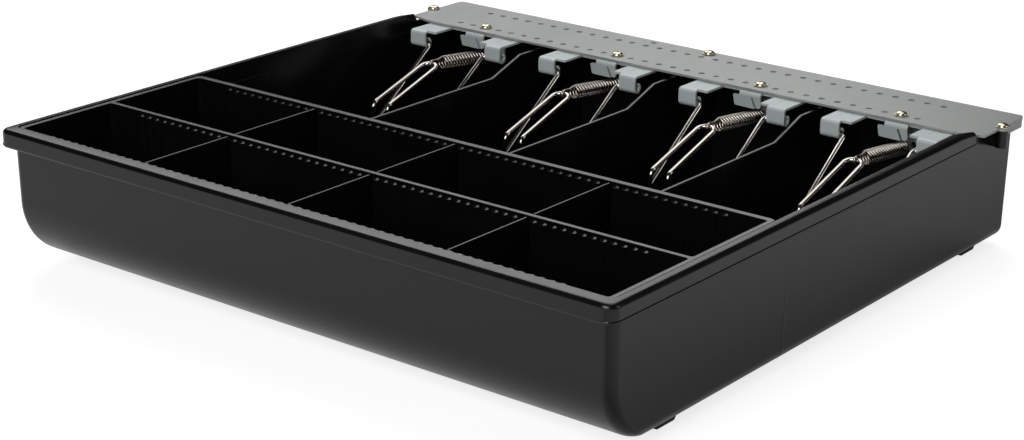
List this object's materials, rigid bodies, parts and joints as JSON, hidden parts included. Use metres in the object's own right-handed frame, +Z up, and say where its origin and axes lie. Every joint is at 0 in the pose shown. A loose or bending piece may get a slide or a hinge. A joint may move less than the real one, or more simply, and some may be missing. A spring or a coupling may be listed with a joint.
{
  "type": "cash register tray",
  "caption": "Black moulded cash tray: note bays with sprung wire note holders under a steel cover plate, and a lift-out coin insert with removable dividers.",
  "frame": {"origin": "middle of the tray in plan, on the surface that its feet stand on", "axes": "+X to the user's right, +Y to the rear where the cover plate is, +Z up"},
  "size_m": [0.3814, 0.361, 0.075],
  "materials": {
    "shell_plastic": "fine matt texture, black",
    "insert_plastic": "satin, black",
    "painted_steel": "satin grey paint",
    "zinc_steel": "bright zinc plate",
    "nickel_wire": "bright nickel plate",
    "spring_steel": "drawn spring wire",
    "screw_steel": "yellow zinc plate",
    "foot_rubber": "matt black"
  },
  "bodies": {
    "root": {"tray_body": "shell_plastic", "back_plate": "painted_steel", "corner_screw_left": "screw_steel", "corner_screw_right": "screw_steel", "rear_screw": "screw_steel", "foot_front_left": "foot_rubber", "foot_front_right": "foot_rubber", "foot_rear_left": "foot_rubber", "foot_rear_right": "foot_rubber", "clip_screw_1": "screw_steel", "clip_bracket_1": "zinc_steel", "clip_spring_1": "spring_steel", "clip_screw_2": "screw_steel", "clip_bracket_2": "zinc_steel", "clip_spring_2": "spring_steel", "clip_screw_3": "screw_steel", "clip_bracket_3": "zinc_steel", "clip_spring_3": "spring_steel", "clip_screw_4": "screw_steel", "clip_bracket_4": "zinc_steel", "clip_spring_4": "spring_steel"},
    "coin_tray": {"coin_tray": "insert_plastic"},
    "coin_divider_1": {"coin_divider_1": "insert_plastic"},
    "coin_divider_2": {"coin_divider_2": "insert_plastic"},
    "coin_divider_3": {"coin_divider_3": "insert_plastic"},
    "coin_divider_4": {"coin_divider_4": "insert_plastic"},
    "coin_divider_5": {"coin_divider_5": "insert_plastic"},
    "coin_divider_6": {"coin_divider_6": "insert_plastic"},
    "wire_clip_1": {"wire_clip_1": "nickel_wire"},
    "wire_clip_2": {"wire_clip_2": "nickel_wire"},
    "wire_clip_3": {"wire_clip_3": "nickel_wire"},
    "wire_clip_4": {"wire_clip_4": "nickel_wire"}
  },
  "joints": [
    {"name": "clip_lift_1", "type": "hinge", "parent": "root", "child": "wire_clip_1", "pos_m": [-0.13728, 0.11655, 0.0625], "axis": [-1, 0, 0], "range_deg": [0, 85], "stiffness_Nm_per_rad": 0.08, "springref_deg": -28.65, "deforming": ["clip_spring_1"]},
    {"name": "clip_lift_2", "type": "hinge", "parent": "root", "child": "wire_clip_2", "pos_m": [-0.04348, 0.11655, 0.0625], "axis": [-1, 0, 0], "range_deg": [0, 85], "stiffness_Nm_per_rad": 0.08, "springref_deg": -28.65, "deforming": ["clip_spring_2"]},
    {"name": "clip_lift_3", "type": "hinge", "parent": "root", "child": "wire_clip_3", "pos_m": [0.05092, 0.11655, 0.0625], "axis": [-1, 0, 0], "range_deg": [0, 85], "stiffness_Nm_per_rad": 0.08, "springref_deg": -28.65, "deforming": ["clip_spring_3"]},
    {"name": "clip_lift_4", "type": "hinge", "parent": "root", "child": "wire_clip_4", "pos_m": [0.13842, 0.11655, 0.0625], "axis": [-1, 0, 0], "range_deg": [0, 85], "stiffness_Nm_per_rad": 0.08, "springref_deg": -28.65, "deforming": ["clip_spring_4"]},
    {"name": "coin_tray_lift", "type": "slide", "parent": "root", "child": "coin_tray", "axis": [0, 0, 1], "range_m": [0, 0.08]},
    {"name": "coin_divider_1_lift", "type": "slide", "parent": "coin_tray", "child": "coin_divider_1", "axis": [0, 0, 1], "range_m": [0, 0.07]},
    {"name": "coin_divider_2_lift", "type": "slide", "parent": "coin_tray", "child": "coin_divider_2", "axis": [0, 0, 1], "range_m": [0, 0.07]},
    {"name": "coin_divider_3_lift", "type": "slide", "parent": "coin_tray", "child": "coin_divider_3", "axis": [0, 0, 1], "range_m": [0, 0.07]},
    {"name": "coin_divider_4_lift", "type": "slide", "parent": "coin_tray", "child": "coin_divider_4", "axis": [0, 0, 1], "range_m": [0, 0.07]},
    {"name": "coin_divider_5_lift", "type": "slide", "parent": "coin_tray", "child": "coin_divider_5", "axis": [0, 0, 1], "range_m": [0, 0.07]},
    {"name": "coin_divider_6_lift", "type": "slide", "parent": "coin_tray", "child": "coin_divider_6", "axis": [0, 0, 1], "range_m": [0, 0.07]}
  ]
}
